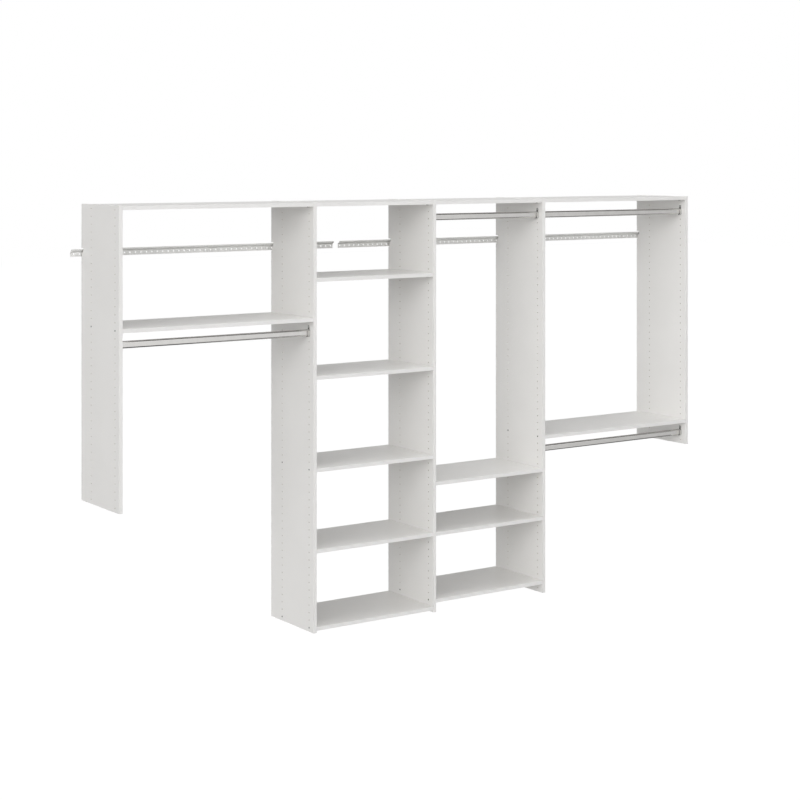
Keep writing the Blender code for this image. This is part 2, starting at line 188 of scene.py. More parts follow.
# The middle part of a noise, which is spread over the full range
FULL = (0.0, 1.0)
CLOUD_NOISE = (0.3, 0.7)
METAL_NOISE = (0.35, 0.65)
CHIP_NOISE = (0.38, 0.62)

# Camera: it stands where the photograph was taken from, which was found from the unit's own sizes
CAMERA_PLACE = (-4.5810, -6.7686, 0.3930)
CAMERA_YAW = 34.42
CAMERA_REACH = 100.0
LENS = 79.91
SENSOR = 36.0
HORIZON_ROW = 158.27
IMAGE_SIDE = 800

# Floor: its depth below the unit, half its side, its finish, and the white that the camera sees
# in its place, as a share and a level
FLOOR_DROP = 0.31
FLOOR_REACH = 30.0
FLOOR_COLOUR = (0.8, 0.8, 0.8)
FLOOR_ROUGHNESS = 0.9
FLOOR_GLOW = 0.9
FLOOR_WHITE = 1.08

# A dome that lights the unit, and its broad soft lights: azimuth from straight ahead to the right,
# elevation, strength
WHITE = (1.0, 1.0, 1.0)
DOME_LEVEL = 0.152
DOME_LIGHTS = ((-60.0, 5.0, 3.68), (60.0, 5.0, 1.15), (-135.0, 40.0, 0.97))
DOME_SHARPNESS = 8.0

# What metal and satin faces mirror: a studio that is white in front and behind on the right, and
# how it darkens overhead and underfoot: the slope where that starts, where it ends, what is left
MIRROR_LEVEL = 0.17
MIRROR_LIGHTS = ((0.0, 0.0, 1.05), (138.0, 5.0, 0.6))
MIRROR_SHARPNESS = 2.0
MIRROR_OVERHEAD = (0.27, 0.42, 0.0)
MIRROR_UNDERFOOT = (0.42, 0.7, 0.45)

# Soft lamps: name, azimuth, elevation, level. They are aimed at a height on the unit's front
LAMPS = (
    ("key", -25.0, 34.0, 0.213),
    ("front_overhead", 0.0, 75.0, 0.20),
    ("overhead", 0.0, 90.0, 0.19),
)
LAMP_AIM = -0.6
LAMP_DISTANCE = 8.0
LAMP_SIZE = 4.0


def span(node):
    """A CAD node's lowest and highest corners."""
    low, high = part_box(node)
    return np.array(list(low)), np.array(list(high))


PANELS = ["panel_%d" % number for number in range(1, 6)]
RAIL_LOW, RAIL_HIGH = span("hang_rail_left")
UNIT_TOP = span("panel_1")[1][2]
UNIT_FRONT = span("panel_1")[0][1]
FRONT_COLUMN = UNIT_FRONT + FRONT_SETBACK
COLUMNS = (FRONT_COLUMN, FRONT_COLUMN + COLUMN_PITCHES * HOLE_PITCH)


def mitres(loop):
    """Each corner's move that carries both its sides one unit to their left: the sum of the sides'
    left normals a and b, divided by 1 + a . b."""
    way = np.roll(loop, -1, axis=0) - loop
    way = way / np.linalg.norm(way, axis=1, keepdims=True)
    left = np.stack([-way[:, 1], way[:, 0]], axis=1)
    before = np.roll(left, 1, axis=0)
    return (left + before) / (1 + (left * before).sum(axis=1, keepdims=True))


def followers(count):
    """The number of the next point round a ring, for each of its points."""
    return np.roll(np.arange(count), -1)


def joined(loops):
    """All the loops' points in one array, each point's follower and the number of its loop."""
    sizes = [len(loop) for loop in loops]
    starts = np.concatenate([[0], np.cumsum(sizes)[:-1]])
    following = np.concatenate([start + followers(size) for start, size in zip(starts, sizes)])
    return np.concatenate(loops), following, np.repeat(np.arange(len(loops)), sizes)


def filled(points, following, numbers, creases=()):
    """Triangles of the flat area that the loops bound: a constrained Delaunay triangulation, less
    the triangles that have all three corners on one hole."""
    sides = np.stack([np.arange(len(points)), following], axis=1).tolist()
    sides += [list(crease) for crease in creases]
    corners = [tuple(point) for point in points.tolist()]
    found = delaunay_2d_cdt(corners, sides, [], 1, SAME_POINT)[2]
    triangles = np.array([list(face) for face in found], dtype=int)
    owners = numbers[triangles]
    in_one = (owners[:, 0] == owners[:, 1]) & (owners[:, 1] == owners[:, 2])
    return triangles[~(in_one & (owners[:, 0] > 0))]


def ring_walls(rings, following):
    """Quads between rings whose points are numbered ring after ring, from the number of rings and
    each point's follower round its ring."""
    count = len(following)
    here = np.arange(count)
    rows = np.arange(rings - 1)[:, None] * count
    corners = [rows + here, rows + following, rows + count + following, rows + count + here]
    return np.stack(corners, axis=2).reshape(-1, 4)


def plate(loops, stations, arris, creases=()):
    """Loops in u and v, carried along w through the stations and filled at both ends.

    The edges are quarter rounds: for an angle a from 0 to 90 degrees a section lies
    arris * (1 - cos a) from the end, and its loops are moved arris * (1 - sin a) into the material.
    """
    turn = np.linspace(0, math.pi / 2, ARRIS_STEPS + 1)
    depth = arris * (1 - np.cos(turn))
    inset = arris * (1 - np.sin(turn))
    levels = np.concatenate([stations[0] + depth, stations[1:-1], stations[-1] - depth[::-1]])
    insets = np.concatenate([inset, np.zeros(len(stations) - 2), inset[::-1]])
    flat, following, numbers = joined(loops)
    moves = np.concatenate([mitres(loop) for loop in loops])
    points = np.empty((len(levels), len(flat), 3))
    points[:, :, :2] = flat + insets[:, None, None] * moves
    points[:, :, 2] = levels[:, None]
    walls = ring_walls(len(levels), following)
    fill = filled(points[0, :, :2], following, numbers, creases)
    caps = np.concatenate([fill[:, ::-1], fill + (len(levels) - 1) * len(flat)])
    owners = np.concatenate([np.tile(numbers, len(levels) - 1), np.full(len(caps), -1)])
    return points.reshape(-1, 3), [walls, caps], owners


def round_rings(radii, heights):
    """Rings about w, each with its own radius and height, as an array of ring, point and axis."""
    angle = np.arange(ROUND_STEPS) * 2 * math.pi / ROUND_STEPS
    radii = np.asarray(radii)[:, None]
    level = np.asarray(heights)[:, None] + 0 * angle
    return np.stack([radii * np.cos(angle), radii * np.sin(angle), level], axis=2)


def fan(start, hub):
    """Triangles between a round ring, whose points are numbered from a start, and a hub."""
    ring = start + np.arange(ROUND_STEPS)
    return np.stack([ring, start + followers(ROUND_STEPS), np.full(ROUND_STEPS, hub)], axis=1)


def turned(profile):
    """A round piece: a profile of radius and height, turned through one revolution about w. Its
    first and last points are on the axis."""
    profile = np.asarray(profile)
    rings = round_rings(*profile[1:-1].T)
    ends = [[0, 0, profile[0, 1]], [0, 0, profile[-1, 1]]]
    walls = ring_walls(len(rings), followers(ROUND_STEPS))
    hub = len(rings) * ROUND_STEPS
    caps = np.concatenate([fan(0, hub)[:, ::-1], fan(hub - ROUND_STEPS, hub + 1)])
    owners = np.zeros(len(walls) + len(caps), dtype=int)
    return np.concatenate([rings.reshape(-1, 3), ends]), [walls, caps], owners


def arc(radius, start, end, steps, centre=(0, 0)):
    """Points round part of a circle between two angles, both ends included."""
    angle = np.linspace(start, end, steps + 1)
    return np.asarray(centre) + radius * np.stack([np.cos(angle), np.sin(angle)], axis=1)


def hole(centre_u, centre_v, radius, sides):
    """A round hole's loop, clockwise."""
    return arc(radius, 0, -2 * math.pi, sides, (centre_u, centre_v))[:-1]


def heading(step):
    """The angle of a step in u and v."""
    return math.atan2(step[1], step[0])


def rounded_path(corners, radii, steps=BEND_STEPS):
    """A line through the corners with each inner one rounded to its radius.

    Returns the points, their left normals and the distance run at each. The corner's arc starts
    radius * tan(turn / 2) before it.
    """
    corners = np.asarray(corners, dtype=float)
    points = [corners[0]]
    headings = [heading(corners[1] - corners[0])]
    lengths = [0.0]
    for before, corner, after, radius in zip(corners, corners[1:], corners[2:], radii):
        first = heading(corner - before)
        turn = (heading(after - corner) - first + math.pi) % (2 * math.pi) - math.pi
        reach = radius * math.tan(abs(turn) / 2)
        start = corner - reach * np.array([math.cos(first), math.sin(first)])
        side = math.copysign(1, turn) * radius
        centre = start + side * np.array([-math.sin(first), math.cos(first)])
        angles = first + np.linspace(0, turn, steps + 1)
        lengths.append(lengths[-1] + np.linalg.norm(start - points[-1]))
        points.extend(centre + side * np.stack([np.sin(angles), -np.cos(angles)], axis=1))
        headings.extend(angles)
        lengths.extend(lengths[-1] + radius * abs(turn) * np.arange(1, steps + 1) / steps)
    points.append(corners[-1])
    headings.append(headings[-1])
    lengths.append(lengths[-1] + np.linalg.norm(points[-1] - points[-2]))
    normals = np.stack([-np.sin(headings), np.cos(headings)], axis=1)
    lengths = np.array(lengths)
    apart = np.diff(lengths, prepend=-1) > SHORTEST_STEP
    return np.array(points)[apart], normals[apart], lengths[apart]


def along(path, distance, offset):
    """Where the points at a distance along a path, and at an offset to its left, lie."""
    points, normals, lengths = path
    place, left = (
        np.stack([np.interp(distance, lengths, values[:, axis]) for axis in (0, 1)], axis=-1)
        for values in (points, normals)
    )
    return place + left * np.asarray(offset)[..., None]


def rounded_loop(corners, radius, steps):
    """A closed loop with every corner rounded alike, which starts halfway along its last side."""
    corners = np.asarray(corners, dtype=float)
    start = (corners[0] + corners[-1]) / 2
    path = np.concatenate([[start], corners, [start]])
    return rounded_path(path, [radius] * len(corners), steps)[0][1:]


def rectangle(low_u, low_v, high_u, high_v):
    """A counterclockwise loop of four corners."""
    return np.array([(low_u, low_v), (high_u, low_v), (high_u, high_v), (low_u, high_v)])


def gathered(shapes):
    """Several closed shapes as one: their points and faces, one after another."""
    points, quads, triangles, quad_owners, triangle_owners = [], [], [], [], []
    start = 0
    for shape_points, (shape_quads, shape_triangles), owners in shapes:
        points.append(shape_points)
        quads.append(shape_quads + start)
        triangles.append(shape_triangles + start)
        quad_owners.append(owners[: len(shape_quads)])
        triangle_owners.append(owners[len(shape_quads):])
        start += len(shape_points)
    faces = [np.concatenate(quads), np.concatenate(triangles)]
    return np.concatenate(points), faces, np.concatenate(quad_owners + triangle_owners)


def laid(shape, origin, u, v, w):
    """A shape moved so that its u, v and w run along three directions, from an origin."""
    points, faces, owners = shape
    return np.asarray(origin) + points @ np.array([u, v, w], dtype=float), faces, owners


def side_on(shape, y=0.0, z=0.0):
    """A shape drawn in Y and Z, with its thickness along X."""
    return laid(shape, (0.0, y, z), Y, Z, X)


def narrow_walls(points, faces, owners):
    """Which faces are walls with a side shorter than a curve's facets are wide: these shade
    smooth, and the flats between them stay flat."""
    sides = [points[sheet] - points[np.roll(sheet, -1, axis=1)] for sheet in faces]
    shortest = [np.linalg.norm(side, axis=2).min(axis=1) for side in sides]
    return (owners >= 0) & (np.concatenate(shortest) < FACET_WIDTH)


def make(name, shape, material, replaces=(), body=UNIT, cut=None):
    """A named piece on a body, smooth round its curves and sharp at its corners. Where the
    board's core shows in it, cut says on which faces."""
    points, faces, owners = shape
    corners = np.concatenate([sheet.ravel() for sheet in faces])
    sizes = np.concatenate([np.full(len(sheet), sheet.shape[1]) for sheet in faces])
    starts = np.concatenate([[0], np.cumsum(sizes)[:-1]])
    mesh = bpy.data.meshes.new(name)
    mesh.vertices.add(len(points))
    mesh.vertices.foreach_set("co", np.ascontiguousarray(points, dtype=np.float32).ravel())
    mesh.loops.add(len(corners))
    mesh.loops.foreach_set("vertex_index", corners.astype(np.int32))
    mesh.polygons.add(len(sizes))
    mesh.polygons.foreach_set("loop_start", starts.astype(np.int32))
    mesh.update(calc_edges=True)
    mesh.shade_smooth()
    mesh.set_sharp_from_angle(angle=math.radians(SMOOTH_ANGLE))
    mesh.polygons.foreach_set("use_smooth", narrow_walls(points, faces, owners))
    if cut is not None:
        mark = mesh.attributes.new("cut", "FLOAT", "FACE")
        mark.data.foreach_set("value", cut(points, faces, owners).astype(np.float32))
    mesh.materials.append(material)
    piece = bpy.data.objects.new(name, mesh)
    bpy.context.scene.collection.objects.link(piece)
    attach(piece, body)
    if replaces:
        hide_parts(*replaces)


def feed(tree, socket, value):
    """Links a socket to another node's output, or sets it to a number or a colour."""
    if isinstance(value, bpy.types.NodeSocket):
        tree.links.new(value, socket)
    elif socket.type == "RGBA":
        socket.default_value = (*value, 1.0)
    else:
        socket.default_value = value


def noise(tree, vector, scale, detail=2.0, roughness=0.5):
    """A noise texture whose size is set in cells per metre."""
    node = tree.nodes.new("ShaderNodeTexNoise")
    settings = {"Vector": vector, "Scale": scale, "Detail": detail, "Roughness": roughness}
    for label, value in settings.items():
        feed(tree, node.inputs[label], value)
    return node.outputs["Fac"]


def maths(tree, operation, first, second):
    """A maths node between two sockets or numbers."""
    node = tree.nodes.new("ShaderNodeMath")
    node.operation = operation
    feed(tree, node.inputs[0], first)
    feed(tree, node.inputs[1], second)
    return node.outputs["Value"]


def ranged(tree, value, given, wanted):
    """A value carried from one range to another and held to it."""
    node = tree.nodes.new("ShaderNodeMapRange")
    labels = ("From Min", "From Max", "To Min", "To Max")
    for label, number in zip(labels, (*given, *wanted)):
        node.inputs[label].default_value = number
    tree.links.new(value, node.inputs["Value"])
    return node.outputs["Result"]


def blended(tree, factor, first, second):
    """A colour between two colours."""
    node = tree.nodes.new("ShaderNodeMix")
    node.data_type = "RGBA"
    ends = [socket for socket in node.inputs if socket.type == "RGBA"]
    tree.links.new(factor, node.inputs[0])
    feed(tree, ends[0], first)
    feed(tree, ends[1], second)
    return [socket for socket in node.outputs if socket.type == "RGBA"][0]


def stretched(tree, vector, scale):
    """Coordinates scaled apart along the three axes, for marks that run one way."""
    node = tree.nodes.new("ShaderNodeMapping")
    node.inputs["Scale"].default_value = scale
    tree.links.new(vector, node.inputs["Vector"])
    return node.outputs["Vector"]


def node_tree_group(name, inputs, outputs):
    """An empty shader group with a vector, other named inputs, and named float outputs."""
    group = bpy.data.node_groups.new(name, "ShaderNodeTree")
    group.interface.new_socket("Vector", in_out="INPUT", socket_type="NodeSocketVector")
    for label in inputs:
        group.interface.new_socket(label, in_out="INPUT", socket_type="NodeSocketFloat")
    for label in outputs:
        group.interface.new_socket(label, in_out="OUTPUT", socket_type="NodeSocketFloat")
    return group, group.nodes.new("NodeGroupInput"), group.nodes.new("NodeGroupOutput")


def pearl_group():
    """The embossed face of melamine: a fine pearl relief, and a faint, broad unevenness of tone
    and gloss."""
    group, given, out = node_tree_group("pearl_face", ["Grain"], ["Tone", "Relief", "Gloss"])
    vector = given.outputs["Vector"]
    tone = noise(group, vector, TONE_CLOUDS)
    gloss = noise(group, vector, GLOSS_CLOUDS)
    fine = noise(group, vector, given.outputs["Grain"], detail=1.0)
    group.links.new(ranged(group, tone, CLOUD_NOISE, FULL), out.inputs["Tone"])
    group.links.new(ranged(group, gloss, CLOUD_NOISE, FULL), out.inputs["Gloss"])
    group.links.new(fine, out.inputs["Relief"])
    return group


def plated_group():
    """A plated metal's face: rolling lines along X, a fine tooth and a soft cloudiness."""
    group, given, out = node_tree_group("plated_face", [], ["Lines", "Tooth", "Cloud"])
    vector = given.outputs["Vector"]
    lines = noise(group, stretched(group, vector, ROLLING_LINES), 1.0)
    tooth = noise(group, vector, METAL_TOOTH, detail=1.0)
    cloud = noise(group, vector, METAL_CLOUDS, detail=3.0)
    group.links.new(ranged(group, lines, METAL_NOISE, FULL), out.inputs["Lines"])
    group.links.new(ranged(group, cloud, METAL_NOISE, FULL), out.inputs["Cloud"])
    group.links.new(tooth, out.inputs["Tooth"])
    return group


def grouped(tree, group, vector, **values):
    """A node group placed in a material, fed with a vector and its own values."""
    node = tree.nodes.new("ShaderNodeGroup")
    node.node_tree = group
    tree.links.new(vector, node.inputs["Vector"])
    for label, value in values.items():
        node.inputs[label].default_value = value
    return node.outputs


def surface(name, metallic=0.0):
    """A material with its node tree, its shader and the piece's own coordinates."""
    material = bpy.data.materials.new(name)
    material.use_nodes = True
    tree = material.node_tree
    shader = tree.nodes["Principled BSDF"]
    shader.inputs["Metallic"].default_value = metallic
    return material, tree, shader, tree.nodes.new("ShaderNodeTexCoord").outputs["Object"]


def finish(tree, shader, colour, roughness, height, depth):
    """Gives a shader a colour, a roughness, and bumps of a height of 0 to 1 times a depth."""
    bump = tree.nodes.new("ShaderNodeBump")
    bump.inputs["Strength"].default_value = 1.0
    bump.inputs["Distance"].default_value = depth
    tree.links.new(height, bump.inputs["Height"])
    tree.links.new(colour, shader.inputs["Base Color"])
    tree.links.new(roughness, shader.inputs["Roughness"])
    tree.links.new(bump.outputs["Normal"], shader.inputs["Normal"])


def white_melamine(pearl):
    """Satin white face paper over pale chipboard, which shows where the board is bored or cut."""
    material, tree, shader, place = surface("white_melamine_face")
    face = grouped(tree, pearl, place, Grain=FACE_GRAIN)
    chips = noise(tree, place, CHIPBOARD_GRAIN, detail=3.0, roughness=0.7)
    core = blended(tree, ranged(tree, chips, CHIP_NOISE, FULL), *CHIPBOARD)
    mark = tree.nodes.new("ShaderNodeAttribute")
    mark.attribute_name = "cut"
    cut = mark.outputs["Fac"]
    colour = blended(tree, cut, blended(tree, face["Tone"], *FACE_WHITE), core)
    sheen = ranged(tree, face["Gloss"], FULL, FACE_ROUGHNESS)
    rough = maths(tree, "MAXIMUM", sheen, maths(tree, "MULTIPLY", cut, CHIPBOARD_ROUGHNESS))
    finish(tree, shader, colour, rough, face["Relief"], FACE_RELIEF)
    return material


def edge_tape(pearl):
    """White edging strip: a little brighter than the faces, with a coarser and shallower grain."""
    material, tree, shader, place = surface("white_edge_tape")
    face = grouped(tree, pearl, place, Grain=TAPE_GRAIN)
    white = blended(tree, face["Tone"], *TAPE_WHITE)
    rough = ranged(tree, face["Gloss"], FULL, TAPE_ROUGHNESS)
    finish(tree, shader, white, rough, face["Relief"], TAPE_RELIEF)
    return material


def plated(name, plated_face, tones, roughness, tooth):
    """A plated metal whose tone follows the clouds, and its roughness the rolling lines."""
    material, tree, shader, place = surface(name, 1.0)
    face = grouped(tree, plated_face, place)
    colour = blended(tree, face["Cloud"], *tones)
    rough = ranged(tree, face["Lines"], FULL, roughness)
    finish(tree, shader, colour, rough, face["Tooth"], tooth)
    return material


def galvanised(plated_face, tones, roughness, tooth):
    """Dull zinc with the faint crystal patches that hot dipping leaves."""
    material, tree, shader, place = surface("galvanised_strip", GALVANISED_METALLIC)
    face = grouped(tree, plated_face, place)
    crystals = tree.nodes.new("ShaderNodeTexVoronoi")
    crystals.inputs["Scale"].default_value = CRYSTALS
    split = tree.nodes.new("ShaderNodeSeparateColor")
    tree.links.new(place, crystals.inputs["Vector"])
    tree.links.new(crystals.outputs["Color"], split.inputs["Color"])
    patch = split.outputs["Red"]
    rough = ranged(tree, patch, FULL, roughness)
    finish(tree, shader, blended(tree, patch, *tones), rough, face["Tooth"], tooth)
    return material


def hole_heights(bottom):
    """Heights of a panel's holes, from its top to its bottom."""
    count = round((UNIT_TOP - bottom - 2 * END_MARGIN) / HOLE_PITCH) + 1
    return UNIT_TOP - END_MARGIN - np.arange(count) * HOLE_PITCH


def notched_outline(bottom):
    """A panel's outline behind its edge tape, with the notch round the rail."""
    shallow = -RAIL_THICKNESS - NOTCH_CLEARANCE
    deep = RAIL_LOW[1] - NOTCH_CLEARANCE
    under = RAIL_LOW[2] - NOTCH_CLEARANCE
    over = RAIL_HIGH[2] + NOTCH_CLEARANCE
    front = UNIT_FRONT + TAPE + TAPE_SEAM
    return np.array([
        (front, bottom), (0, bottom), (0, under), (shallow, under), (shallow, under + RAIL_FLAT),
        (deep, RAIL_HIGH[2] - RAIL_LIP - NOTCH_CLEARANCE), (deep, over), (0, over),
        (0, UNIT_TOP), (front, UNIT_TOP),
    ])


def sawn_and_bored(points, faces, owners):
    """1 on the walls of the bores and of the notch, where the board's core shows."""
    quads, caps = faces
    walls = owners[: len(quads)]
    _, y, z = points[quads].mean(axis=1).T
    margin = 2 * NOTCH_CLEARANCE
    notch = (
        (walls == 0) & (y < 0) & (y > RAIL_LOW[1] - margin)
        & (z > RAIL_LOW[2] - margin) & (z < RAIL_HIGH[2] + margin)
    )
    return np.concatenate([(walls > 0) | notch, np.zeros(len(caps), dtype=bool)])


def tape_strip(low, high):
    """The edge tape on a board's front edge, as a thin rounded strip between two corners."""
    corners = rectangle(UNIT_FRONT, low[2], UNIT_FRONT + TAPE, high[2])
    return side_on(plate([corners], [low[0], high[0]], TAPE_ARRIS))


def make_panels(melamine, tape):
    """The bored and notched panels, each with its edge tape."""
    for name in PANELS:
        low, high = span(name)
        bores = [
            hole(column, height, HOLE_RADIUS, HOLE_SIDES)
            for height in hole_heights(low[2]) for column in COLUMNS
        ]
        board = side_on(plate([notched_outline(low[2]), *bores], [low[0], high[0]], ARRIS))
        make(name + "_board", board, melamine, [name], cut=sawn_and_bored)
        make(name + "_tape", tape_strip(low, high), tape)


def make_rails(steel):
    """The rails as strip metal: punched flat, then bent by laying the strip along its section."""
    slant_foot = (0, RAIL_LOW[2] + RAIL_FLAT)
    slant_head = (RAIL_LOW[1] + RAIL_THICKNESS, RAIL_HIGH[2] - RAIL_LIP)
    corners = [(0, RAIL_LOW[2]), slant_foot, slant_head, (slant_head[0], RAIL_HIGH[2])]
    section = rounded_path(corners, [RAIL_BEND_RADIUS] * 2)
    lengths = section[2]
    margins = {"hang_rail_left": RAIL_OUTER_MARGIN, "hang_rail_right": RAIL_INNER_MARGIN}
    for name, margin in margins.items():
        low, high = span(name)
        length = high[0] - low[0]
        right_side = np.stack([np.full(len(lengths), length), lengths], axis=1)
        left_side = np.stack([np.zeros(len(lengths)), lengths[::-1]], axis=1)
        outline = np.concatenate([right_side, left_side])
        creases = [(index, len(outline) - 1 - index) for index in range(1, len(lengths) - 1)]
        centres = margin + np.arange(round(length / RAIL_HOLE_PITCH)) * RAIL_HOLE_PITCH
        punched = [
            hole(centre, -RAIL_LOW[2], RAIL_HOLE_RADIUS, RAIL_HOLE_SIDES) for centre in centres
        ]
        strip = plate([outline, *punched], [0, RAIL_THICKNESS], RAIL_ARRIS, creases)
        points, faces, owners = strip
        bent = np.column_stack([low[0] + points[:, 0], along(section, points[:, 1], points[:, 2])])
        make(name + "_strip", (bent, faces, owners), steel, [name])


def cross_recess(reach):
    """The loop of a driver's cross, clockwise: an arm's three corners, turned four times."""
    half = reach * RECESS_ARM
    arm = np.array([(reach, -half), (reach, half), (half, half)])
    turns = [np.array([(1, 0), (0, 1)]), np.array([(0, 1), (-1, 0)])]
    turns += [-turn for turn in turns]
    return np.concatenate([arm @ turn for turn in turns])[::-1]


def screw_head(radius, height):
    """A low domed head with a cross recess, its seat at w = 0.

    For an angle a up to the dome's, a ring's radius is radius * cos a and its height goes as sin a,
    up to a flat that holds the recess.
    """
    angle = np.linspace(0, math.radians(HEAD_DOME_ANGLE), DOME_STEPS + 1)
    rings = round_rings(radius * np.cos(angle), height * np.sin(angle) / math.sin(angle[-1]))
    recess = cross_recess(radius * RECESS_REACH)
    count = len(recess)
    lip = np.column_stack([recess, np.full(count, height)])
    bottom = np.column_stack([recess * RECESS_BOTTOM, np.full(count, height * (1 - RECESS_DEPTH))])
    points = np.concatenate([rings.reshape(-1, 3), lip, bottom, [[0, 0, 0]]])
    rim = len(rings) * ROUND_STEPS
    dome = ring_walls(len(rings), followers(ROUND_STEPS))
    recess_walls = rim + ring_walls(2, followers(count))[:, ::-1]
    flat = rim - ROUND_STEPS + filled(*joined([rings[-1, :, :2], recess]))
    recess_floor = rim + 2 * count - 1 - filled(*joined([recess[::-1]]))
    seat = fan(0, len(points) - 1)[:, ::-1]
    faces = [np.concatenate([dome, recess_walls]), np.concatenate([flat, recess_floor, seat])]
    owners = np.full(len(faces[0]) + len(faces[1]), -1)
    owners[: len(dome)] = 0
    return points, faces, owners


def make_brackets(zinc):
    """Each panel's bracket: a plate hooked over the rail's lip, and the two screws that hold it."""
    head = screw_head(BRACKET_HEAD_RADIUS, BRACKET_HEAD_HEIGHT)
    slot_front = RAIL_LOW[1] - BRACKET_PLAY
    slot_rear = RAIL_LOW[1] + RAIL_THICKNESS + BRACKET_PLAY
    slot_top = RAIL_HIGH[2] + FIT_GAP
    nose_foot = RAIL_HIGH[2] - BRACKET_NOSE_DROP
    for number, panel in enumerate(PANELS, start=1):
        name = "hang_bracket_%d" % number
        low, high = span(name)
        face = span(panel)[1][0] + FIT_GAP
        outer = face + BRACKET_THICKNESS
        corners = [
            (low[1], high[2]), (low[1], low[2]), (slot_front, low[2]), (slot_front, slot_top),
            (slot_rear, slot_top), (slot_rear, nose_foot), (high[1], nose_foot), (high[1], high[2]),
        ]
        outline = rounded_loop(corners, BRACKET_CORNER, CORNER_STEPS)
        hook = side_on(plate([outline], [face, outer], METAL_ARRIS))
        heads = [
            laid(head, (outer, -BRACKET_SCREW_INSET, level), Y, Z, X)
            for level in BRACKET_SCREW_HEIGHTS
        ]
        make(name + "_plate", hook, zinc, [name])
        make(name + "_screws", gathered(heads), zinc)


def peg(length):
    """A round peg from w = 0 with a chamfered end."""
    shoulder = (PEG_RADIUS, length - METAL_ARRIS)
    tip = (PEG_RADIUS - METAL_ARRIS, length)
    return turned([(0, 0), (PEG_RADIUS, 0), shoulder, tip, (0, length)])


def shelf_pin(face, way, column, height):
    """A pin at a panel's face: its peg runs into the panel, and its half-round tongue lies under
    the shelf."""
    half_round = arc(TONGUE_RADIUS, math.pi, 2 * math.pi, 2 * BEND_STEPS)
    tongue = plate([half_round], [FIT_GAP, FIT_GAP + TONGUE_LENGTH], METAL_ARRIS)
    stub = peg(PEG_REACH + FIT_GAP)
    return [
        laid(tongue, (face, column, height - FIT_GAP), way * -Y, Z, way * -X),
        laid(stub, (face - way * FIT_GAP, column, height), way * Y, Z, way * X),
    ]


def bay_faces(low, high):
    """The panel faces at a shelf's or a rod's two ends."""
    middle = (low[0] + high[0]) / 2
    rights = [span(panel)[1][0] for panel in PANELS]
    lefts = [span(panel)[0][0] for panel in PANELS]
    return max(x for x in rights if x < middle), min(x for x in lefts if x > middle)


def make_board(name, low, high, melamine, tape, body=UNIT):
    """A shelf's board, its long edges slightly eased, and the edge tape on its front."""
    corners = rectangle(UNIT_FRONT + TAPE + TAPE_SEAM, low[2], 0, high[2])
    loop = rounded_loop(corners, ARRIS, ARRIS_STEPS)
    board = side_on(plate([loop], [low[0], high[0]], ARRIS))
    make(name + "_board", board, melamine, [name], body)
    make(name + "_tape", tape_strip(low, high), tape, (), body)


def make_adjustable_shelf(name, melamine, tape, nickel):
    """A board on its own body, and the four pins that it rests on."""
    low, high = span(name)
    make_board(name, low, high, melamine, tape, name)
    left, right = bay_faces(low, high)
    for side, face, way in (("left", left, -1), ("right", right, 1)):
        for row, column in zip(("front", "rear"), COLUMNS):
            node = "%s_pin_%s_%s" % (name, row, side)
            pin = gathered(shelf_pin(face, way, column, low[2]))
            make(node + "_fine", pin, nickel, [node])


def board_corners(name):
    """A fixed or top shelf's board without the fastenings that stand out of its ends or its
    underside. It is as thick as an adjustable shelf and ends as far from the panels."""
    low, high = span(name)
    left, right = bay_faces(low, high)
    shelf_low, shelf_high = span("bay_2_adjustable_shelf_1")
    thickness = shelf_high[2] - shelf_low[2]
    end_gap = shelf_low[0] - span("panel_2")[1][0]
    low = np.array([left + end_gap, UNIT_FRONT, high[2] - thickness])
    high = np.array([right - end_gap, 0, high[2]])
    return low, high


def make_top_shelf(name, melamine, tape, nickel):
    """A board on four pins."""
    low, high = board_corners(name)
    make_board(name, low, high, melamine, tape)
    left, right = bay_faces(low, high)
    pins = []
    for face, way in ((left, -1), (right, 1)):
        for column in COLUMNS:
            pins += shelf_pin(face, way, column, low[2])
    make(name + "_pins", gathered(pins), nickel)


def make_fixed_shelf(name, melamine, tape, steel, zinc):
    """A board on four bolts, whose heads lie on the panels' far faces, drawn up by cams in its
    underside. A panel is as thick as the board, so that is how far a bolt runs."""
    low, high = board_corners(name)
    make_board(name, low, high, melamine, tape)
    left, right = bay_faces(low, high)
    thickness = high[2] - low[2]
    centre = (low[2] + high[2]) / 2
    head = laid(screw_head(BOLT_HEAD_RADIUS, BOLT_HEAD_HEIGHT), (0, 0, thickness), X, Y, Z)
    bolt = gathered([peg(thickness), head])
    cam = screw_head(CAM_RADIUS, CAM_HEIGHT)
    bolts = []
    cams = []
    for face, way in ((left, -1), (right, 1)):
        for column in COLUMNS:
            bolts.append(laid(bolt, (face, column, centre), way * Y, Z, way * X))
            cams.append(laid(cam, (face - way * CAM_INSET, column, low[2]), Y, X, -Z))
    make(name + "_bolts", gathered(bolts), steel)
    make(name + "_cams", gathered(cams), zinc)


def rod_loop(inset, way):
    """The rod's oval: two half circles joined by straight sides, way being -1 for its inside."""
    centre = ROD_HALF_HEIGHT - ROD_HALF_WIDTH
    top = arc(ROD_HALF_WIDTH - inset, 0, math.pi, ROUND_STEPS // 2, (0, centre))
    return np.concatenate([top, -top])[::way]


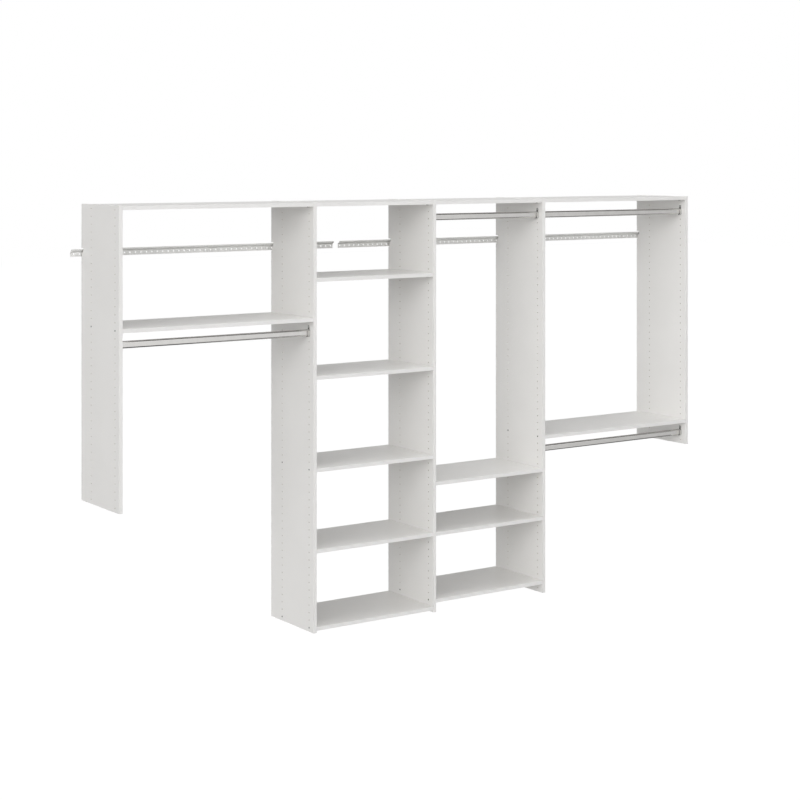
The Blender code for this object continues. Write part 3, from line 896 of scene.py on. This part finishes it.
def cup_shape():
    """A rod cup in u, v and w: w is the distance from the panel's face, and its fixing is at 0, 0.

    Its back is a plate with an ear for the fixing. Its wall is a filleted strip, round at the rim,
    that is carried round the rod as a U.
    """
    inner = ROD_HALF_WIDTH + CUP_GAP
    edge = inner + CUP_WALL + CUP_RIM
    low = -ROD_DROP - (ROD_HALF_HEIGHT - ROD_HALF_WIDTH)
    brim = -ROD_DROP + CUP_WALL_RISE
    shoulder = brim + edge - CUP_EAR_RADIUS
    outline = np.concatenate([
        arc(edge, math.pi, 2 * math.pi, 2 * BEND_STEPS, (0, low)),
        [(edge, brim), (CUP_EAR_RADIUS, shoulder)],
        arc(CUP_EAR_RADIUS, 0, math.pi, 2 * BEND_STEPS),
        [(-CUP_EAR_RADIUS, shoulder), (-edge, brim)],
    ])
    back = plate([outline], [CUP_GAP, CUP_GAP + CUP_PLATE], METAL_ARRIS)
    middle = inner + CUP_WALL / 2
    corners = [(-middle, brim), (-middle, low - middle), (middle, low - middle), (middle, brim)]
    path = rounded_path(corners, [middle, middle], 2 * BEND_STEPS)
    half = CUP_WALL / 2
    floor = CUP_GAP + CUP_PLATE
    root = floor - CUP_PLATE / 2
    turn = np.linspace(0, math.pi / 2, CORNER_STEPS + 1)
    fillet = CUP_FILLET * np.stack([1 - np.sin(turn), 1 - np.cos(turn)], axis=1)
    right_side = np.array([half, floor]) + fillet
    section = np.concatenate([
        [(-half - CUP_FILLET, root), (half + CUP_FILLET, root)],
        right_side,
        arc(half, 0, math.pi, BEND_STEPS, (0, CUP_DEPTH - half)),
        right_side[::-1] * (-1, 1),
    ])
    points, faces, owners = plate([section], path[2], METAL_ARRIS)
    flat = along(path, points[:, 2], points[:, 0])
    return gathered([back, (np.column_stack([flat, points[:, 1]]), faces, owners)])


def make_rod(name, chrome, zinc):
    """An oval tube on its own body, and a cup with its screw at each end."""
    low, high = span(name)
    height = (low[2] + high[2]) / 2
    tube = plate([rod_loop(0, 1), rod_loop(ROD_WALL, -1)], [low[0], high[0]], ROD_ARRIS)
    tube = side_on(tube, FRONT_COLUMN, height)
    make(name + "_tube", tube, chrome, [name], name)
    cup = cup_shape()
    screw = gathered([
        laid(screw_head(CUP_HEAD_RADIUS, CUP_HEAD_HEIGHT), (0, 0, CUP_GAP + CUP_PLATE), X, Y, Z),
        laid(peg(PEG_REACH + CUP_GAP), (0, 0, CUP_GAP), -X, Y, -Z),
    ])
    left, right = bay_faces(low, high)
    for side, face, way in (("left", left, 1), ("right", right, -1)):
        node = "%s_cup_%s" % (name, side)
        seat = ((face, FRONT_COLUMN, height + ROD_DROP), way * Y, Z, way * X)
        make(node + "_shell", laid(cup, *seat), chrome, [node])
        make(node + "_screw", laid(screw, *seat), zinc)


def make_unit():
    """All the pieces of the unit, in their finishes."""
    pearl = pearl_group()
    plated_face = plated_group()
    melamine = white_melamine(pearl)
    tape = edge_tape(pearl)
    steel = galvanised(plated_face, *GALVANISED)
    zinc = plated("bright_zinc", plated_face, *BRIGHT_ZINC)
    bolt_steel = plated("near_black_bolt_metal", plated_face, *NEAR_BLACK_STEEL)
    nickel = plated("nickel_plate", plated_face, *NICKEL_PLATE)
    chrome = plated("polished_chrome", plated_face, *POLISHED_CHROME)
    make_panels(melamine, tape)
    make_rails(steel)
    make_brackets(zinc)
    for name in sorted(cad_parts):
        if name.endswith("_top_shelf"):
            make_top_shelf(name, melamine, tape, nickel)
        elif "_adjustable_shelf_" in name and "_pin_" not in name:
            make_adjustable_shelf(name, melamine, tape, nickel)
        elif "_fixed_shelf" in name:
            make_fixed_shelf(name, melamine, tape, bolt_steel, zinc)
        elif name.endswith("_rod"):
            make_rod(name, chrome, zinc)


def towards(azimuth, elevation):
    """The direction out from the unit's front, turned to the right by an azimuth and up by an
    elevation."""
    side = math.radians(azimuth)
    rise = math.radians(elevation)
    flat = math.cos(rise)
    return np.array([math.sin(side) * flat, -math.cos(side) * flat, math.sin(rise)])


def make_camera():
    """A level camera. Its lens is shifted so that the horizon lies on the photograph's row."""
    data = bpy.data.cameras.new("camera")
    data.sensor_width = SENSOR
    data.lens = LENS
    data.shift_y = (HORIZON_ROW - IMAGE_SIDE / 2) / IMAGE_SIDE
    data.clip_end = CAMERA_REACH
    camera = bpy.data.objects.new("camera", data)
    camera.location = CAMERA_PLACE
    camera.rotation_euler = (math.pi / 2, 0, -math.radians(CAMERA_YAW))
    bpy.context.scene.collection.objects.link(camera)
    bpy.context.scene.camera = camera


def make_lamps():
    """Large soft lamps: one from the front left, one from the front overhead and one straight
    above. A square lamp of power P lights a face square to it at a distance d as a white dome of
    strength P / (pi d)^2 does."""
    middle = np.array([0.0, UNIT_FRONT, LAMP_AIM])
    for name, azimuth, elevation, level in LAMPS:
        data = bpy.data.lights.new(name, "AREA")
        data.shape = "SQUARE"
        data.size = LAMP_SIZE
        data.energy = level * (math.pi * LAMP_DISTANCE) ** 2
        lamp = bpy.data.objects.new(name, data)
        lamp.location = middle + towards(azimuth, elevation) * LAMP_DISTANCE
        lamp.rotation_euler = (math.pi / 2 - math.radians(elevation), 0, math.radians(azimuth))
        bpy.context.scene.collection.objects.link(lamp)


def shining(tree, direction, level, lights, sharpness):
    """An even level with soft lights added to it. A light adds its strength times a power of the
    cosine between the direction and its own aim, where that is above 0."""
    for azimuth, elevation, strength in lights:
        dot = tree.nodes.new("ShaderNodeVectorMath")
        dot.operation = "DOT_PRODUCT"
        dot.inputs[1].default_value = tuple(towards(azimuth, elevation))
        tree.links.new(direction, dot.inputs[0])
        shine = maths(tree, "POWER", maths(tree, "MAXIMUM", dot.outputs["Value"], 0.0), sharpness)
        level = maths(tree, "ADD", maths(tree, "MULTIPLY", shine, strength), level)
    return level


def background(tree, strength):
    """White light from the world at a strength."""
    node = tree.nodes.new("ShaderNodeBackground")
    feed(tree, node.inputs["Color"], WHITE)
    feed(tree, node.inputs["Strength"], strength)
    return node.outputs["Background"]


def either(tree, factor, first, second):
    """The first shader where the factor is 0, and the second where it is 1."""
    node = tree.nodes.new("ShaderNodeMixShader")
    for socket, value in zip(node.inputs, (factor, first, second)):
        tree.links.new(value, socket)
    return node.outputs["Shader"]


def make_world():
    """A white dome with broad soft lights on the left, on the right and behind on the left. The
    camera sees plain white, and metal mirrors the studio. The light is so soft that no ray has to
    look for it."""
    world = bpy.data.worlds.new("studio")
    bpy.context.scene.world = world
    world.use_nodes = True
    world.cycles.sampling_method = "NONE"
    tree = world.node_tree
    tree.nodes.clear()
    ray = tree.nodes.new("ShaderNodeLightPath").outputs
    direction = tree.nodes.new("ShaderNodeTexCoord").outputs["Generated"]
    lit = shining(tree, direction, DOME_LEVEL, DOME_LIGHTS, DOME_SHARPNESS)
    mirrored = shining(tree, direction, MIRROR_LEVEL, MIRROR_LIGHTS, MIRROR_SHARPNESS)
    split = tree.nodes.new("ShaderNodeSeparateXYZ")
    tree.links.new(direction, split.inputs["Vector"])
    rise = split.outputs["Z"]
    fall = maths(tree, "MULTIPLY", rise, -1.0)
    for slope, (start, end, left) in ((rise, MIRROR_OVERHEAD), (fall, MIRROR_UNDERFOOT)):
        share = ranged(tree, slope, (start, end), (1.0, left))
        mirrored = maths(tree, "MULTIPLY", mirrored, share)
    dome = background(tree, lit)
    unseen = either(tree, ray["Is Glossy Ray"], dome, background(tree, mirrored))
    whole = either(tree, ray["Is Camera Ray"], unseen, background(tree, 1.0))
    out = tree.nodes.new("ShaderNodeOutputWorld")
    tree.links.new(whole, out.inputs["Surface"])


def make_floor():
    """A pale floor below the unit. The camera sees it as white, with a faint trace of the unit's
    shadow. That white lights nothing, and metal doesn't mirror the floor."""
    level = cad_box[0][2] - FLOOR_DROP
    square = rectangle(-FLOOR_REACH, -FLOOR_REACH, FLOOR_REACH, FLOOR_REACH)
    mesh = bpy.data.meshes.new("floor")
    mesh.from_pydata([(*corner, level) for corner in square.tolist()], [], [(0, 1, 2, 3)])
    floor = bpy.data.objects.new("floor", mesh)
    bpy.context.scene.collection.objects.link(floor)
    material = bpy.data.materials.new("pale_floor")
    material.use_nodes = True
    material.cycles.emission_sampling = "NONE"
    tree = material.node_tree
    shader = tree.nodes["Principled BSDF"]
    feed(tree, shader.inputs["Base Color"], FLOOR_COLOUR)
    feed(tree, shader.inputs["Roughness"], FLOOR_ROUGHNESS)
    white = tree.nodes.new("ShaderNodeEmission")
    feed(tree, white.inputs["Strength"], FLOOR_WHITE)
    seen = tree.nodes.new("ShaderNodeLightPath").outputs["Is Camera Ray"]
    glow = maths(tree, "MULTIPLY", seen, FLOOR_GLOW)
    whole = either(tree, glow, shader.outputs["BSDF"], white.outputs["Emission"])
    tree.links.new(whole, tree.nodes["Material Output"].inputs["Surface"])
    mesh.materials.append(material)
    floor.visible_glossy = False


make_unit()
make_camera()
make_lamps()
make_world()
make_floor()
bpy.context.scene.view_settings.view_transform = "Standard"
